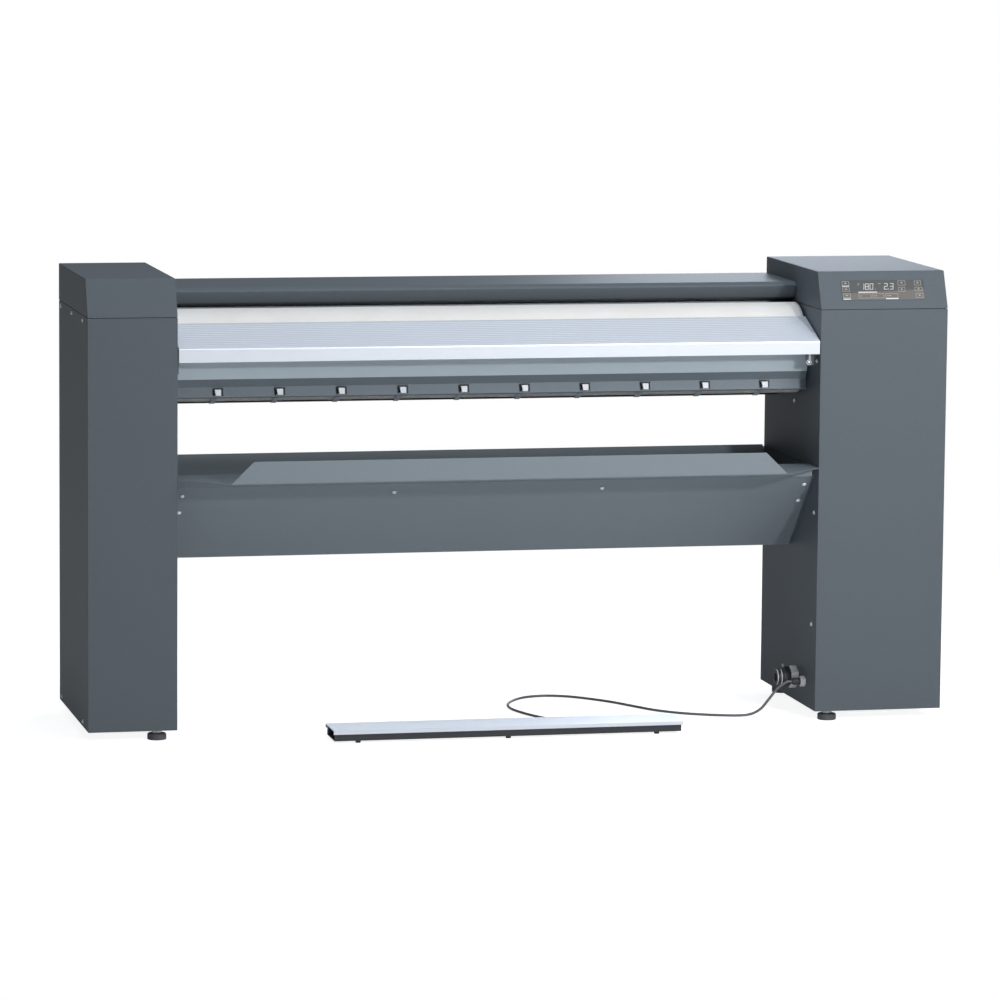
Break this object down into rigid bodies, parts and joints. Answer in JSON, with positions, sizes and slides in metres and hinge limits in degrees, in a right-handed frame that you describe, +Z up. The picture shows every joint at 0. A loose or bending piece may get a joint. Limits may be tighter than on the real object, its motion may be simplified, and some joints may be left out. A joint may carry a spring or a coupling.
{
  "type": "flatwork ironer",
  "caption": "Flatwork ironer: padded roller between two floor-standing columns, heated trough behind it, ribbed feed board, laundry tray and a corded foot bar on the floor.",
  "frame": {"origin": "bottom centre of the machine's bounding box, on the floor", "axes": "+X along the roller towards the wider control column, +Y from the front to the back, +Z up"},
  "size_m": [1.98, 0.572, 1.035],
  "materials": {
    "iron_grey_paint": "satin",
    "frame_steel": "satin",
    "zinc_plated_steel": "satin",
    "polished_steel": "gloss",
    "anodised_aluminium": "satin",
    "cast_aluminium": "matte",
    "ironing_cloth": "matte",
    "padding_felt": "matte",
    "insulation_blanket": "matte",
    "belt_rubber": "matte",
    "foot_plastic": "matte",
    "gland_plastic": "matte",
    "control_overlay": "gloss",
    "dark_plastic": "matte",
    "motor_paint": "satin",
    "cord_sheath": "matte"
  },
  "bodies": {
    "frame": {"left_board_bracket": "iron_grey_paint", "right_board_bracket": "iron_grey_paint", "left_casing": "iron_grey_paint", "right_casing": "iron_grey_paint", "left_cap": "iron_grey_paint", "right_cap": "iron_grey_paint", "left_back_panel": "iron_grey_paint", "right_back_panel": "iron_grey_paint", "top_cover": "iron_grey_paint", "rear_cover": "iron_grey_paint", "front_panel": "iron_grey_paint", "tray_shelf": "iron_grey_paint", "tray_front_wall": "iron_grey_paint", "tray_rear_wall": "iron_grey_paint", "left_tray_end": "iron_grey_paint", "right_tray_end": "iron_grey_paint", "left_base": "frame_steel", "right_base": "frame_steel", "left_upright": "frame_steel", "right_upright": "frame_steel", "stripper_rail": "zinc_plated_steel", "left_arm_pivot": "polished_steel", "right_arm_pivot": "polished_steel", "guard_rod": "polished_steel", "foot_bar_pin": "polished_steel", "feed_board": "anodised_aluminium", "left_bearing": "cast_aluminium", "right_bearing": "cast_aluminium", "drive_belt": "belt_rubber", "mains_gland": "gland_plastic", "switch_gland": "gland_plastic", "foot_bar_gland": "gland_plastic", "control_glass": "control_overlay", "control_housing": "dark_plastic", "foot_switch": "dark_plastic", "foot_bar_base": "dark_plastic", "gear_motor": "motor_paint", "press_motor": "motor_paint", "foot_switch_cord": "cord_sheath"},
    "roller": {"roller_cloth": "ironing_cloth", "roller_padding": "padding_felt", "roller_drum": "frame_steel", "roller_left_disc": "cast_aluminium", "roller_right_disc": "cast_aluminium", "roller_shaft": "polished_steel", "roller_pulley": "cast_aluminium"},
    "motor_pulley": {"motor_pulley": "cast_aluminium"},
    "trough": {"heated_trough": "anodised_aluminium", "lower_heating_rod": "polished_steel", "upper_heating_rod": "polished_steel", "trough_blanket": "insulation_blanket", "left_trough_arm": "frame_steel", "right_trough_arm": "frame_steel"},
    "press_cam": {"press_cam": "polished_steel"},
    "finger_guard": {"finger_guard": "iron_grey_paint"},
    "treadle": {"foot_bar_plate": "anodised_aluminium"},
    "left_front_foot": {"left_foot_front": "foot_plastic"},
    "left_rear_foot": {"left_foot_rear": "foot_plastic"},
    "right_front_foot": {"right_foot_front": "foot_plastic"},
    "right_rear_foot": {"right_foot_rear": "foot_plastic"}
  },
  "joints": [
    {"name": "roller_spin", "type": "hinge", "parent": "frame", "child": "roller", "pos_m": [0, 0.016, 0.8465], "axis": [1, 0, 0], "continuous": true},
    {"name": "motor_pulley_spin", "type": "hinge", "parent": "frame", "child": "motor_pulley", "pos_m": [0.81, -0.001, 0.705], "axis": [1, 0, 0], "continuous": true},
    {"name": "trough_swing", "type": "hinge", "parent": "frame", "child": "trough", "pos_m": [0, 0.034, 0.585], "axis": [-1, 0, 0], "range_deg": [0, 3]},
    {"name": "press_cam_turn", "type": "hinge", "parent": "frame", "child": "press_cam", "pos_m": [0.7, 0.15316, 0.68861], "axis": [1, 0, 0], "range_deg": [0, 180]},
    {"name": "finger_guard_swing", "type": "hinge", "parent": "frame", "child": "finger_guard", "pos_m": [0, 0.0295, 0.9875], "axis": [1, 0, 0], "range_deg": [0, 8], "stiffness_Nm_per_rad": 1.5, "springref_deg": -5.73},
    {"name": "treadle_press", "type": "hinge", "parent": "frame", "child": "treadle", "pos_m": [-0.05, -0.189, 0.021], "axis": [1, 0, 0], "range_deg": [0, 3], "stiffness_Nm_per_rad": 30, "springref_deg": -2.86},
    {"name": "left_front_foot_turn", "type": "hinge", "parent": "frame", "child": "left_front_foot", "pos_m": [-0.83, -0.141, 0.025], "axis": [0, 0, 1], "continuous": true},
    {"name": "left_rear_foot_turn", "type": "hinge", "parent": "frame", "child": "left_rear_foot", "pos_m": [-0.83, 0.246, 0.025], "axis": [0, 0, 1], "continuous": true},
    {"name": "right_front_foot_turn", "type": "hinge", "parent": "frame", "child": "right_front_foot", "pos_m": [0.73, -0.141, 0.025], "axis": [0, 0, 1], "continuous": true},
    {"name": "right_rear_foot_turn", "type": "hinge", "parent": "frame", "child": "right_rear_foot", "pos_m": [0.73, 0.246, 0.025], "axis": [0, 0, 1], "continuous": true}
  ],
  "couplings": [
    {"joint": "motor_pulley_spin", "follows": "roller_spin", "ratio": 2},
    {"joint": "press_cam_turn", "follows": "trough_swing", "ratio": 60}
  ]
}
